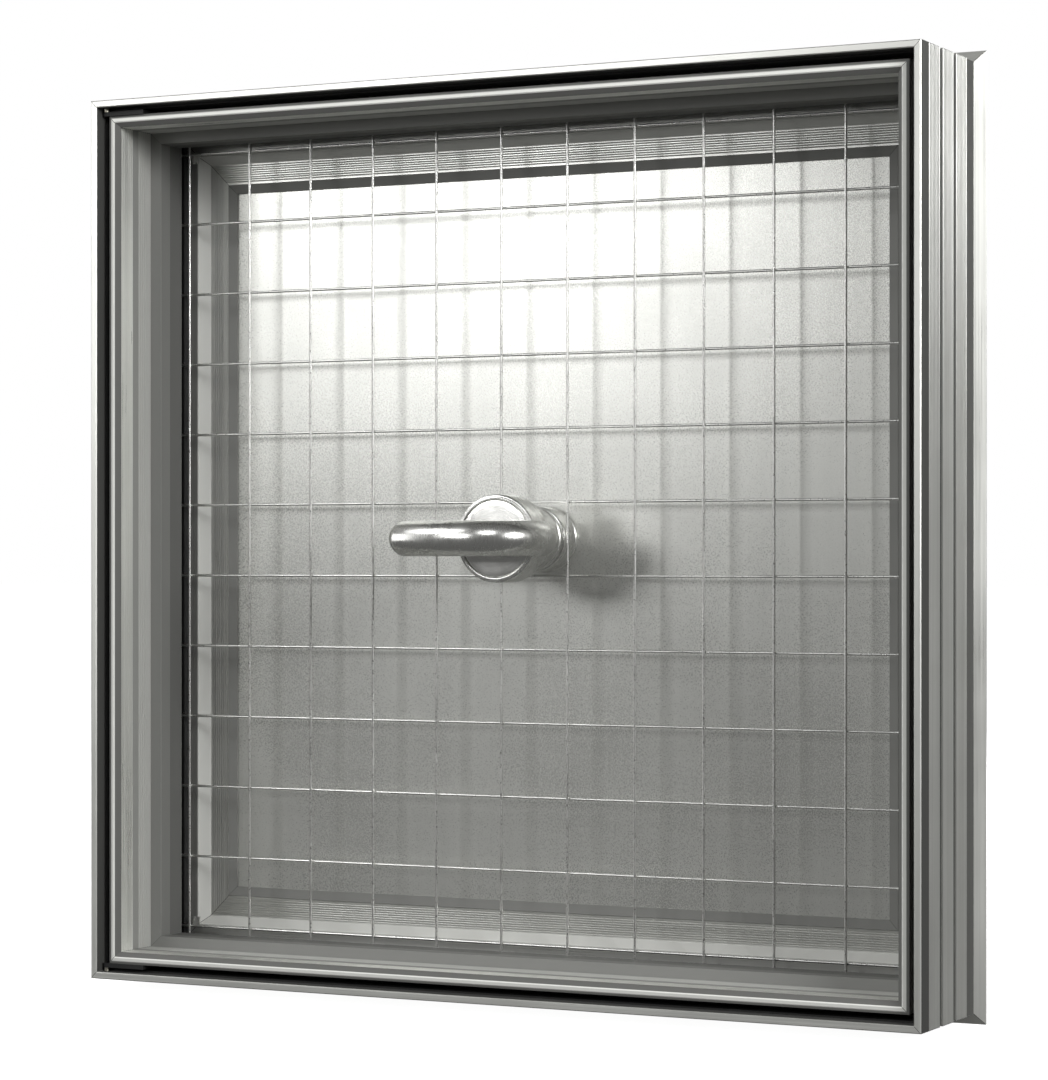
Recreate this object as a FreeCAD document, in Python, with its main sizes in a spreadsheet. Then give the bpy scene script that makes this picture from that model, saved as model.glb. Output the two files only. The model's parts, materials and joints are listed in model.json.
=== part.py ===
import FreeCAD, Part
import Sketcher
import math
import os
from fcgear import fcgear, involute

# Square window sash in its frame, with a crank in the middle that drives two bolts.
# Millimetres. X to the right, Z up, Y into the wall. The origin is the centre of the
# frame's back face. "Depth" below always means the distance behind the frame's front
# plane, and "radius" on a square ring means its half width.

os.makedirs("parts", exist_ok=True)
doc = FreeCAD.newDocument("window_sash")
sheet = doc.addObject("Spreadsheet::Sheet", "Sizes")

SIZES = [
    # fixed frame
    ("frame_size", 500, "outer width and height of the frame"),
    ("frame_depth", 104, "front plane to back face"),
    ("frame_wall", 3.9, "wall of the front section, seen as the front rim"),
    ("front_band", 11.8, "smooth band behind the front rim"),
    ("rib_width", 16.35, "each of the three fluted outer ribs"),
    ("rib_groove", 4.2, "flat groove between two ribs"),
    ("groove_deep", 0.8, "depth of those grooves"),
    ("rib_flute_pitch", 2.0, "spacing of the fine flutes on a rib"),
    ("rib_flutes", 7, "flutes on one rib"),
    ("flute_deep", 0.3, "depth of a fine flute on the ribs and reveals"),
    ("flute_share", 0.64, "width of a flute as a share of its pitch"),
    ("edge_break", 0.5, "broken edges of the rims"),
    ("tongue_length", 8, "tongue of the rear section inside the front one"),
    ("tongue_wall", 1.8, "thickness of that tongue"),
    ("joint_play", 0.05, "clearance in a bonded joint or a screw hole"),
    ("strip_width", 12.2, "plain strip behind the last rib"),
    ("strip_set", 0.4, "how far the strip sits in from the ribs"),
    ("flange_overhang", 5.4, "rear flange beyond the frame"),
    ("flange_bevel", 3.4, "depth of the flange's front bevel"),
    ("flange_rim", 0.4, "thin outer edge of the flange"),
    ("flange_back", 2.7, "back bevel of the flange, down to the wall seat"),
    ("spigot_set", 4, "spigot behind the flange, in from the frame size"),
    ("stop_width", 18.1, "inward stop for the sash, from the inner wall"),
    ("stop_depth", 86, "front face of the stop"),
    ("chamber_wall", 3, "walls of the stop's hollow chamber"),
    ("cleat_arm", 30, "each arm of a corner cleat"),
    ("cleat_play", 0.15, "corner cleat in its chamber"),
    ("liner_wall", 1.0, "black liner on the inner wall of the frame"),
    ("liner_start", 10, "depth where the liner starts"),
    ("liner_width", 12, "width of the liner"),
    ("seal_width", 7, "rubber seal on the stop"),
    ("seal_play", 0.3, "seal to the closed sash"),
    ("seal_inset", 2, "seal, back from the tip of the stop"),
    ("fixing_span", 400, "distance between the fixing holes across"),
    ("fixing_hole", 2.75, "radius of a fixing hole"),
    # sash
    ("sash_gap", 4.6, "gap all round between frame and sash"),
    ("sash_lip_depth", 5.5, "inner edge of the sash's front lip"),
    ("sash_lip_slope", 0.9, "the lip's outer edge sits this much deeper"),
    ("sash_lip", 3.3, "width of the lip"),
    ("sash_wall", 6.5, "sash wall at the first reveal"),
    ("reveal_chamfer", 2.7, "chamfer from the lip to the reveal, in depth"),
    ("ledge_depth", 39.3, "depth where the first reveal ends in a ledge"),
    ("ledge_width", 6, "width of the ledge"),
    ("ledge_slope", 1.2, "backward slope of the ledge"),
    ("reveal_flute_pitch", 2.0, "spacing of the fine flutes on the reveal"),
    ("reveal_flutes", 6, "flutes in each of the reveal's two bands"),
    ("reveal_band_one", 9.6, "depth of the first flute of the first band"),
    ("reveal_band_two", 27.2, "depth of the first flute of the second band"),
    ("channel_depth", 62.5, "front face of the channel that holds the mesh"),
    ("channel_floor", 5.5, "channel floor, in from the sash's outer size"),
    ("sash_step_depth", 60, "depth where the sash's outer wall steps in"),
    ("sash_step", 3.5, "how far it steps in"),
    ("sash_cleat_wall", 2.2, "walls around the sash's corner chamber"),
    # border beads and panel
    ("bead_depth", 74.4, "front edge of the border beads"),
    ("bead_chamfer_in", 4.1, "bead's front edge, in from the second reveal"),
    ("bead_chamfer_run", 4.6, "width of the bead's smooth chamfer"),
    ("bead_face_depth", 81, "fluted face of the bead"),
    ("bead_face", 12.1, "width of the fluted face"),
    ("bead_flute_pitch", 1.3, "spacing of the flutes on the bead"),
    ("bead_flutes", 8, "flutes on the bead"),
    ("bead_nose", 0.6, "nose that stands in front of the fluted face"),
    ("bead_nose_run", 0.3, "run from the fluted face up to the nose"),
    ("bead_bevel", 5.5, "width of the inner bevel"),
    ("bead_bevel_drop", 1.2, "depth of the inner bevel"),
    ("panel_depth", 83, "front face of the panel"),
    ("panel_inset", 28, "panel edge, in from the frame size"),
    ("skin", 1.2, "thickness of each panel skin"),
    ("skin_play", 0.2, "front skin, in from the panel edge"),
    ("edge_wall", 2, "channel around the panel's edge"),
    ("edge_lip", 10, "the channel's lip over the rear skin"),
    ("edge_lip_thick", 1, "thickness of that lip"),
    # mesh
    ("mesh_wires", 12, "wires each way"),
    ("mesh_edge", 3.8, "outermost wire, in from the second reveal"),
    ("wire", 0.75, "radius of a wire"),
    ("mesh_depth", 66.1, "plane where the two layers of wire touch"),
    ("wire_grip", 3, "how far a wire end reaches behind the reveal"),
    ("gasket_set", 1.5, "mesh gasket, back from the second reveal"),
    ("clip_side", 6, "side of a triangular corner clip"),
    ("clip_thick", 1, "thickness of a corner clip"),
    # hinge
    ("hinge_depth", 7, "depth of the hinge axis, in the left gap"),
    ("hinge_pin", 1.5, "radius of the hinge pin"),
    ("hinge_play", 0.06, "pin in the leaf"),
    ("hinge_eye", 2.0, "radius of the leaf's eye"),
    ("leaf_thick", 2.4, "thickness of a leaf"),
    ("leaf_length", 26, "length of a leaf from the axis"),
    ("leaf_width", 17, "depth of a leaf"),
    ("leaf_screw_near", 9, "nearer leaf screw, from the hinge axis"),
    ("leaf_screw_far", 20, "farther leaf screw, from the hinge axis"),
    ("leaf_screw_bite", 3, "leaf screw in the wall of the sash"),
    ("pin_grip", 2.8, "pin in the frame's wall"),
    # crank
    ("disc_depth", 18, "front of the hub's disc"),
    ("disc_thick", 18, "thickness of the disc"),
    ("disc", 24, "radius of the disc"),
    ("disc_rim", 2.7, "rim around the cap"),
    ("disc_bevel", 1.2, "bevel on the disc's front edge"),
    ("cap_thick", 2.2, "cap in the disc's front"),
    ("cap_play", 0.1, "cap in its recess"),
    ("cap_edge", 0.4, "broken edge of the cap"),
    ("neck", 17.5, "radius of the hub's neck"),
    ("neck_end", 65.3, "depth where the neck ends"),
    ("pilot", 7.8, "radius of the pilot that turns in the bush"),
    ("pilot_end", 80, "depth where the pilot ends"),
    ("pilot_play", 0.05, "pilot in the bush"),
    ("bar_radius", 9.65, "radius of the bent bar"),
    ("bar_root_x", 8, "where the bar starts inside the neck, across"),
    ("bar_root_depth", 50, "and its depth there"),
    ("bar_stub", 15, "straight stub before the bend"),
    ("bar_lean", 53.13, "angle of the stub from the X axis"),
    ("bar_bend", 25.6, "centre line radius of the tight bend"),
    ("bar_sweep", 110, "centre line radius of the long sweep"),
    ("bar_sweep_turn", 24, "degrees turned by the long sweep"),
    ("rosette", 18, "radius of the rosette"),
    ("rosette_depth", 66, "front of the rosette"),
    ("rosette_bevel", 2.4, "rounded shoulder of the rosette"),
    ("rosette_shoulder", 0.72, "middle of that shoulder, in from both faces"),
    ("bush_wall", 1.7, "wall of the spindle bush"),
    ("spindle", 7, "square spindle across the flats"),
    ("spindle_start", 30, "front end of the spindle"),
    ("spindle_end", 97.2, "rear end of the spindle"),
    ("grub", 2.5, "radius of the grub screw"),
    ("grub_depth", 55, "depth of the grub screw"),
    ("grub_length", 10, "length of the grub screw"),
    # gear and bolts
    ("tooth_module", 1, "gear module"),
    ("pinion_teeth", 16, "teeth on the pinion"),
    ("gear_depth", 92, "middle plane of pinion and racks"),
    ("gear_thick", 8, "thickness of pinion and racks"),
    ("backlash", 0.2, "play between pinion and rack teeth"),
    ("rack_back", 9, "rack from the pitch line to its back"),
    ("rack_low", 20, "rack below the spindle axis"),
    ("rack_high", 12, "rack above the spindle axis"),
    ("pressure_angle", 20, "pressure angle of the teeth, in degrees"),
    ("tooth_tip", 1.0, "pinion tooth above the pitch line, in modules"),
    ("tooth_root", 1.25, "rack gap behind the pitch line, in modules"),
    ("gap_mouth", 1.3, "rack gap in front of the pitch line, in modules"),
    ("rod_radius", 3.5, "radius of a bolt rod"),
    ("rod_inset", 5, "bolt rod's axis, out from the pitch line"),
    ("rod_play", 0.1, "bolt rod in its guide"),
    ("rod_hole_play", 0.8, "bolt rod in the holes it only passes through"),
    ("rod_short", 0.5, "bolt tip, back from the panel edge when withdrawn"),
    ("bolt_travel", 12.6, "travel of a bolt, level crank to upright crank"),
    ("rack_clear", 0.3, "rack to the side wall of the gear case"),
    ("case_wall", 2.2, "side wall of the gear case"),
    ("case_base", 2, "base of the gear case"),
    ("case_high", 27, "half height inside the gear case"),
    ("case_end", 6, "thick ends of the gear case"),
    ("case_rear", 98, "depth of the gear case's rear face"),
    ("cover_thick", 1.6, "cover of the gear case"),
    ("case_play", 0.2, "gear case and guides in the core"),
    ("cover_screw_near", 3, "cover screws, one side of the axis"),
    ("cover_screw_far", 14, "cover screws, other side of the axis"),
    ("clip_radius", 6, "radius of the ring that holds the pinion"),
    ("clip_ring", 0.8, "thickness of that ring"),
    ("guide_half", 7, "half width of a rod guide"),
    ("guide_length", 12, "length of a rod guide"),
    ("keeper_thick", 1.5, "thickness of a keeper plate"),
    ("keeper_half", 20, "half length of a keeper plate"),
    ("keeper_side", 14, "width of a keeper plate"),
    ("keeper_front", 87, "depth of a keeper's front edge"),
    ("keeper_screw_in", 5, "keeper screw, in from the plate's end"),
    # fasteners
    ("small_screw", 1.25, "shank radius of the small screws"),
    ("small_head", 2.2, "head radius of the small screws"),
    ("small_head_thick", 0.9, "head height of the small screws"),
    ("small_length", 5, "shank length of the small screws"),
    ("rosette_screw", 2, "shank radius of the rosette screws"),
    ("rosette_head", 3.5, "head radius of the rosette screws"),
    ("rosette_head_thick", 2.4, "head height of the rosette screws"),
    ("rosette_screw_at", 14, "rosette screws above and below the axis"),
    ("rosette_screw_length", 12, "shank length of the rosette screws"),
]

for row, (alias, value, note) in enumerate(SIZES, start=1):
    sheet.set(f"A{row}", note)
    sheet.set(f"B{row}", str(value))
    sheet.setAlias(f"B{row}", alias)
doc.recompute()


class Size:
    """A length with its value now and the expression that ties it to the sheet."""

    def __init__(self, value, text):
        self.value = value
        self.text = text

    def __add__(self, other):
        other = size_of(other)
        return Size(self.value + other.value, f"({self.text} + {other.text})")

    def __sub__(self, other):
        other = size_of(other)
        return Size(self.value - other.value, f"({self.text} - {other.text})")

    def __rsub__(self, other):
        return size_of(other) - self

    def __mul__(self, other):
        other = size_of(other)
        return Size(self.value * other.value, f"({self.text} * {other.text})")

    def __truediv__(self, other):
        other = size_of(other)
        return Size(self.value / other.value, f"({self.text} / {other.text})")

    def __neg__(self):
        return Size(-self.value, f"(0 - {self.text})")

    __radd__ = __add__
    __rmul__ = __mul__


def size_of(number):
    if isinstance(number, Size):
        return number
    return Size(float(number), f"{number}")


class Dimensions:
    """Every alias of the spreadsheet as an attribute."""


D = Dimensions()
for alias, _, _ in SIZES:
    setattr(D, alias, Size(float(sheet.get(alias)), f"Sizes.{alias}"))

# Radii of the square rings and depths that several pieces share.
HALF = D.frame_size / 2
INNER_WALL = HALF - D.frame_wall
FRONT_END = D.front_band + 3 * D.rib_width + 2 * D.rib_groove
TONGUE_FRONT = FRONT_END - D.tongue_length
FLANGE_FRONT = FRONT_END + D.strip_width
SEAT_DEPTH = FLANGE_FRONT + D.flange_bevel + D.flange_rim + D.flange_back
SPIGOT = HALF - D.spigot_set
STOP_TIP = INNER_WALL - D.stop_width
SASH = INNER_WALL - D.sash_gap
REVEAL_ONE = SASH - D.sash_wall
REVEAL_TWO = REVEAL_ONE - D.ledge_width
LEDGE_END = D.ledge_depth + D.ledge_slope
CHANNEL = SASH - D.channel_floor
SASH_REAR = SASH - D.sash_step
PANEL = HALF - D.panel_inset
BEAD_FRONT = REVEAL_TWO - D.bead_chamfer_in
BEAD_FACE = BEAD_FRONT - D.bead_chamfer_run
BEAD_NOSE = BEAD_FACE - D.bead_face
BEAD_INNER = BEAD_NOSE - D.bead_bevel
CORE_FRONT = D.panel_depth + D.skin
LIP_FRONT = D.frame_depth - D.edge_lip_thick
CORE_REAR = LIP_FRONT - D.skin
CORE = PANEL - D.edge_wall
PITCH_RADIUS = D.tooth_module * D.pinion_teeth / 2
TOOTH_PITCH = D.tooth_module * Size(math.pi, "pi")
ROD_OFFSET = PITCH_RADIUS + D.rod_inset
CASE_INSIDE = PITCH_RADIUS + D.rack_back + D.rack_clear
HINGE_X = -(HALF - D.frame_wall - D.sash_gap / 2)
BOLT_HEIGHT = PANEL - D.rod_short
BOLT_SLOT = D.rod_radius + D.rod_hole_play

AXIS_Y = FreeCAD.Vector(0, 1, 0)
SIDES = {"top": 0, "right": 90, "bottom": 180, "left": 270}
LONG = 2000  # longer than any cut that goes right through
OVERCUT = 1  # how far a drill or cutter passes the face it starts from
made = {}


def behind(depth):
    """Y of a plane at this depth behind the front."""
    return depth - D.frame_depth


def bind(thing, path, size):
    thing.setExpression(path, size_of(size).text)


def keep(thing, label):
    """Register a finished sub-part under the name of its file."""
    thing.Label = label
    made[label] = thing
    return thing


# ---------------------------------------------------------------- sketches and bodies

def new_body(name):
    return doc.addObject("PartDesign::Body", name)


def origin_part(body, role):
    return next(part for part in body.Origin.OriginFeatures if part.Role == role)


def new_sketch(body, role, name):
    sketch = body.newObject("Sketcher::SketchObject", name)
    sketch.AttachmentSupport = [(origin_part(body, role), "")]
    sketch.MapMode = "FlatFace"
    return sketch


def fix_point(sketch, edge, corner, place):
    """Tie one sketch point to the sheet, measured from the sketch's origin."""
    for kind, size in zip(("DistanceX", "DistanceY"), place):
        rule = Sketcher.Constraint(kind, -1, 1, edge, corner, size.value)
        index = sketch.addConstraint(rule)
        sketch.setExpression(f"Constraints[{index}]", size.text)


def outline(sketch, points):
    """A closed outline through (x, y) sizes."""
    points = [(size_of(x), size_of(y)) for x, y in points]
    first = sketch.GeometryCount
    for here, there in zip(points, points[1:] + points[:1]):
        ends = [FreeCAD.Vector(x.value, y.value, 0) for x, y in (here, there)]
        sketch.addGeometry(Part.LineSegment(*ends))
    for step in range(len(points)):
        following = first + (step + 1) % len(points)
        sketch.addConstraint(Sketcher.Constraint("Coincident", first + step, 2, following, 1))
    for step, point in enumerate(points):
        fix_point(sketch, first + step, 1, point)


def circle(sketch, centre, radius):
    x, y = (size_of(part) for part in centre)
    spot = FreeCAD.Vector(x.value, y.value, 0)
    index = sketch.addGeometry(Part.Circle(spot, FreeCAD.Vector(0, 0, 1), radius.value))
    fix_point(sketch, index, 3, (x, y))
    number = sketch.addConstraint(Sketcher.Constraint("Radius", index, radius.value))
    sketch.setExpression(f"Constraints[{number}]", radius.text)


def pad(body, sketch, length):
    feature = body.newObject("PartDesign::Pad", "Pad")
    feature.Profile = sketch
    feature.SideType = "Symmetric"
    bind(feature, "Length", length)
    return feature


def pocket_through(body, sketch):
    """Cut a sketch right through, both ways from its plane."""
    feature = body.newObject("PartDesign::Pocket", "Pocket")
    feature.Profile = sketch
    feature.SideType = "Symmetric"
    feature.Type = "Length"
    feature.Length = LONG
    return feature


def ring_outline(depths_and_radii):
    """Section points of a square ring or a turned piece, given as (depth, radius)."""
    return [(behind(depth), radius) for depth, radius in depths_and_radii]


# ---------------------------------------------------------------- mitred members

def flutes(body, first, deep, pitch, count, along, name):
    """A row of fine V flutes: first is (depth, radius), deep is +/- into the face."""
    depth, radius = first
    half = pitch * D.flute_share / 2
    sketch = new_sketch(body, "YZ_Plane", name)
    if along == "Y_Axis":
        points = [(depth - half, radius), (depth, radius + deep), (depth + half, radius)]
    else:
        points = [(depth, radius - half), (depth + deep, radius), (depth, radius + half)]
    outline(sketch, ring_outline(points))
    cut = pocket_through(body, sketch)
    row = body.newObject("PartDesign::LinearPattern", "Row")
    row.Originals = [cut]
    row.Direction = (origin_part(body, along), [""])
    row.Mode = "Spacing"
    bind(row, "Offset", pitch)
    bind(row, "Occurrences", count)
    body.Tip = row


def mitre(body, low, high):
    """Cut both ends of a member at 45 degrees, for radii from low to high."""
    sketch = new_sketch(body, "XZ_Plane", "Mitre")
    low = low - OVERCUT
    high = high + OVERCUT
    end = high + OVERCUT
    outline(sketch, [(low, low), (high, high), (end, high), (end, low)])
    outline(sketch, [(-low, low), (-high, high), (-end, high), (-end, low)])
    body.Tip = pocket_through(body, sketch)


def member(label, side, section, low, high, hollow=None, rows=(), holes=()):
    """One of four mitred members: section is in (depth, radius), run along X."""
    body = new_body(label)
    sketch = new_sketch(body, "YZ_Plane", "Section")
    outline(sketch, ring_outline(section))
    if hollow:
        outline(sketch, ring_outline(hollow))
    body.Tip = pad(body, sketch, 2 * high)
    for number, row in enumerate(rows):
        flutes(body, *row, f"Flute{number}")
    mitre(body, low, high)
    for number, (role, centre, radius, reach) in enumerate(holes):
        sketch = new_sketch(body, role, f"Hole{number}")
        circle(sketch, centre, radius)
        body.Tip = drill(body, sketch, reach)
    turn = FreeCAD.Rotation(AXIS_Y, SIDES[side])
    body.Placement = FreeCAD.Placement(FreeCAD.Vector(0, 0, 0), turn)
    return keep(body, label)


def drill(body, sketch, reach):
    """Drill both ways from the sketch plane, or only outward to a stated radius."""
    feature = pocket_through(body, sketch)
    if reach:
        feature.SideType = "One side"
        feature.Reversed = True
        bind(feature, "Length", reach)
    return feature


def square(low_depth, high_depth, low, high):
    return [(low_depth, low), (low_depth, high), (high_depth, high), (high_depth, low)]


def make_front_frame(side):
    lip = D.edge_break
    groove_floor = HALF - D.groove_deep
    points = [(lip, HALF), (0, HALF - lip), (0, INNER_WALL + lip), (lip, INNER_WALL)]
    inner = INNER_WALL + D.tongue_wall + D.joint_play
    points += [(TONGUE_FRONT - D.joint_play, INNER_WALL), (TONGUE_FRONT - D.joint_play, inner)]
    points += [(FRONT_END, inner), (FRONT_END, HALF)]
    start = FRONT_END - D.rib_width
    for _ in range(2):
        points += [(start, HALF), (start, groove_floor)]
        start = start - D.rib_groove
        points += [(start, groove_floor), (start, HALF)]
        start = start - D.rib_width
    rows = []
    margin = (D.rib_width - (D.rib_flutes - 1) * D.rib_flute_pitch) / 2
    for rib in range(3):
        first = D.front_band + rib * (D.rib_width + D.rib_groove) + margin
        row = ((first, HALF), -D.flute_deep, D.rib_flute_pitch, D.rib_flutes, "Y_Axis")
        rows.append(row)
    member(f"frame_{side}", side, points, INNER_WALL, HALF, rows=rows)


def make_rear_frame(side):
    tongue = INNER_WALL + D.tongue_wall
    strip = HALF - D.strip_set
    flange = HALF + D.flange_overhang
    rim = FLANGE_FRONT + D.flange_bevel
    points = [(FRONT_END, strip), (FLANGE_FRONT, strip), (rim, flange)]
    points += [(rim + D.flange_rim, flange), (SEAT_DEPTH, HALF), (SEAT_DEPTH, SPIGOT)]
    points += [(D.frame_depth, SPIGOT), (D.frame_depth, STOP_TIP), (D.stop_depth, STOP_TIP)]
    points += [(D.stop_depth, INNER_WALL), (TONGUE_FRONT, INNER_WALL)]
    points += [(TONGUE_FRONT, tongue), (FRONT_END, tongue)]
    wall = D.chamber_wall
    hollow = square(D.stop_depth + wall, D.frame_depth - wall, STOP_TIP + wall, SPIGOT - wall)
    holes = []
    if side in ("top", "bottom"):
        middle = (STOP_TIP + SPIGOT) / 2
        for sign in (-1, 1):
            spot = (sign * D.fixing_span / 2, middle)
            holes.append(("XZ_Plane", spot, D.fixing_hole, None))
    member(f"rear_frame_{side}", side, points, STOP_TIP, flange, hollow, holes=holes)


def make_sash(side):
    lip_outer = D.sash_lip_depth + D.sash_lip_slope
    lip_inner = SASH - D.sash_lip
    reveal = D.sash_lip_depth + D.reveal_chamfer
    points = [(lip_outer, SASH), (D.sash_lip_depth, lip_inner), (reveal, REVEAL_ONE)]
    points += [(D.ledge_depth, REVEAL_ONE), (LEDGE_END, REVEAL_TWO)]
    points += [(D.channel_depth, REVEAL_TWO), (D.channel_depth, CHANNEL)]
    points += [(D.panel_depth, CHANNEL), (D.panel_depth, SASH_REAR)]
    points += [(D.sash_step_depth, SASH_REAR), (D.sash_step_depth, SASH)]
    wall = D.sash_cleat_wall
    hollow = square(LEDGE_END + wall, D.sash_step_depth - wall, REVEAL_TWO + wall, SASH - wall)
    rows = []
    for first in (D.reveal_band_one, D.reveal_band_two):
        row = ((first, REVEAL_ONE), D.flute_deep, D.reveal_flute_pitch, D.reveal_flutes, "Y_Axis")
        rows.append(row)
    member(f"sash_{side}", side, points, REVEAL_TWO, SASH, hollow, rows)


def make_bead(side):
    nose = D.bead_face_depth - D.bead_nose
    points = [(D.bead_depth, CHANNEL), (D.bead_depth, BEAD_FRONT), (D.bead_face_depth, BEAD_FACE)]
    points += [(D.bead_face_depth, BEAD_NOSE), (nose, BEAD_NOSE - D.bead_nose_run)]
    points += [(nose + D.bead_bevel_drop, BEAD_INNER), (D.panel_depth, BEAD_INNER)]
    points += [(D.panel_depth, CHANNEL)]
    margin = (D.bead_face - (D.bead_flutes - 1) * D.bead_flute_pitch) / 2
    first = (D.bead_face_depth, BEAD_NOSE + margin)
    rows = [(first, D.flute_deep, D.bead_flute_pitch, D.bead_flutes, "Z_Axis")]
    member(f"border_bead_{side}", side, points, BEAD_INNER, CHANNEL, rows=rows)


def make_panel_edge(side):
    points = [(CORE_FRONT, PANEL), (CORE_FRONT, CORE), (LIP_FRONT, CORE)]
    lip = CORE - D.edge_lip
    points += [(LIP_FRONT, lip), (D.frame_depth, lip), (D.frame_depth, PANEL)]
    holes = []
    if side in ("top", "bottom"):
        spot = (ROD_OFFSET, behind(D.gear_depth))
        holes.append(("XY_Plane", spot, BOLT_SLOT, PANEL + OVERCUT))
    member(f"panel_edge_{side}", side, points, lip, PANEL, holes=holes)


# ---------------------------------------------------------------- primitives

def place(thing, x, depth, z):
    for name, size in zip("xyz", (x, behind(size_of(depth)), z)):
        bind(thing, f"Placement.Base.{name}", size)


def block(name, x, depth, z):
    """A box from its (low, high) sizes across, in depth and in height."""
    box = doc.addObject("Part::Box", name)
    for side, (low, high) in zip(("Length", "Width", "Height"), (x, depth, z)):
        bind(box, side, size_of(high) - low)
    place(box, x[0], depth[0], z[0])
    return box


def rod_along(name, axis, radius, start, length):
    """A cylinder along +Y or +Z from start = (x, depth, z)."""
    thing = doc.addObject("Part::Cylinder", name)
    bind(thing, "Radius", radius)
    bind(thing, "Height", length)
    if axis == "Y":
        thing.Placement.Rotation = FreeCAD.Rotation(FreeCAD.Vector(1, 0, 0), -90)
    if axis == "X":
        thing.Placement.Rotation = FreeCAD.Rotation(AXIS_Y, 90)
    place(thing, *start)
    return thing


def cut(name, base, *tools):
    for tool in tools:
        step = doc.addObject("Part::Cut", name)
        step.Base = base
        step.Tool = tool
        base = step
    return base


def join(name, *shapes):
    thing = doc.addObject("Part::MultiFuse", name)
    thing.Shapes = list(shapes)
    return thing


def group(label, things):
    """Identical loose pieces that share one node."""
    bundle = doc.addObject("Part::Compound", label)
    bundle.Links = things
    return keep(bundle, label)


def square_ring(name, depth, low, high):
    outer = block(name + "_out", (-high, high), depth, (-high, high))
    inner = block(name + "_in", (-low, low), depth, (-low, low))
    return cut(name, outer, inner)


def half_turn(thing):
    """The same piece turned half a turn about the crank axis."""
    turned = doc.addObject("Part::Compound", thing.Name + "_turned")
    turned.Links = [thing]
    turned.Placement = FreeCAD.Placement(FreeCAD.Vector(), FreeCAD.Rotation(AXIS_Y, 180))
    return turned


def turned(name, section):
    """A piece turned about the crank axis, from its (depth, radius) section."""
    body = new_body(name)
    sketch = new_sketch(body, "YZ_Plane", "Section")
    outline(sketch, ring_outline(section))
    spin = body.newObject("PartDesign::Revolution", "Revolution")
    spin.Profile = sketch
    spin.ReferenceAxis = (sketch, ["H_Axis"])
    spin.Angle = 360
    body.Tip = spin
    return body


def screw(name, axis, shank, head, head_thick, length, under_head):
    """A screw whose shank runs along +axis and whose head sits behind under_head."""
    x, depth, z = (size_of(part) for part in under_head)
    body = rod_along(name + "_shank", axis, shank, (x, depth, z), length)
    if axis == "Y":
        start = (x, depth - head_thick, z)
    else:
        start = (x, depth, z - head_thick)
    return join(name, body, rod_along(name + "_head", axis, head, start, head_thick))


# ---------------------------------------------------------------- frame pieces

def corner_cleat(name, low_depth, high_depth, low, high, arm):
    """An L in the top right corner, in a chamber between two radii."""
    depth = (low_depth, high_depth)
    flat = block(name + "_flat", (high - arm, high), depth, (low, high))
    upright = block(name + "_upright", (low, high), depth, (high - arm, high))
    return join(name, flat, upright)


def four_corners(label, cleat):
    copies = [cleat]
    for turn in (90, 180, 270):
        copy = doc.addObject("Part::Compound", f"{label}_{turn}")
        copy.Links = [cleat]
        copy.Placement = FreeCAD.Placement(FreeCAD.Vector(), FreeCAD.Rotation(AXIS_Y, turn))
        copies.append(copy)
    return group(label, copies)


def make_cleats():
    inset = D.chamber_wall + D.cleat_play
    cleat = corner_cleat("frame_cleat", D.stop_depth + inset, D.frame_depth - inset,
                         STOP_TIP + inset, SPIGOT - inset, D.cleat_arm)
    four_corners("frame_corner_cleats", cleat)
    inset = D.sash_cleat_wall + D.cleat_play
    cleat = corner_cleat("sash_cleat", LEDGE_END + inset, D.sash_step_depth - inset,
                         REVEAL_TWO + inset, SASH - inset, D.cleat_arm)
    four_corners("sash_corner_cleats", cleat)


def make_seals():
    depth = (D.liner_start, D.liner_start + D.liner_width)
    keep(square_ring("gap_liner", depth, INNER_WALL - D.liner_wall, INNER_WALL), "gap_liner")
    low = STOP_TIP + D.seal_inset
    depth = (D.panel_depth + D.seal_play, D.stop_depth)
    keep(square_ring("stop_seal", depth, low, low + D.seal_width), "stop_seal")
    low = REVEAL_TWO + D.gasket_set
    ring = square_ring("mesh_gasket", (D.channel_depth, D.bead_depth), low, CHANNEL)
    reach = REVEAL_TWO + D.wire_grip + D.joint_play
    thick = 2 * D.wire + D.joint_play
    slot = block("gasket_slot", (-reach, reach), (D.mesh_depth - thick, D.mesh_depth + thick),
                 (-reach, reach))
    keep(cut("mesh_gasket_slotted", ring, slot), "mesh_gasket")


def bolt_slot(name, low, high):
    """The square slot a bolt slides into, between two heights at the top."""
    return block(name, (ROD_OFFSET - BOLT_SLOT, ROD_OFFSET + BOLT_SLOT),
                 (D.gear_depth - BOLT_SLOT, D.gear_depth + BOLT_SLOT), (low, high))


def slot_stops():
    """Slots for the bolts in the top and bottom of the stop, as deep as the bolts reach."""
    reach = BOLT_HEIGHT + D.bolt_travel + D.rod_hole_play
    slot = bolt_slot("stop_slot", STOP_TIP - OVERCUT, reach)
    redo("rear_frame_top", slot)
    redo("rear_frame_bottom", half_turn(slot))


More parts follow.
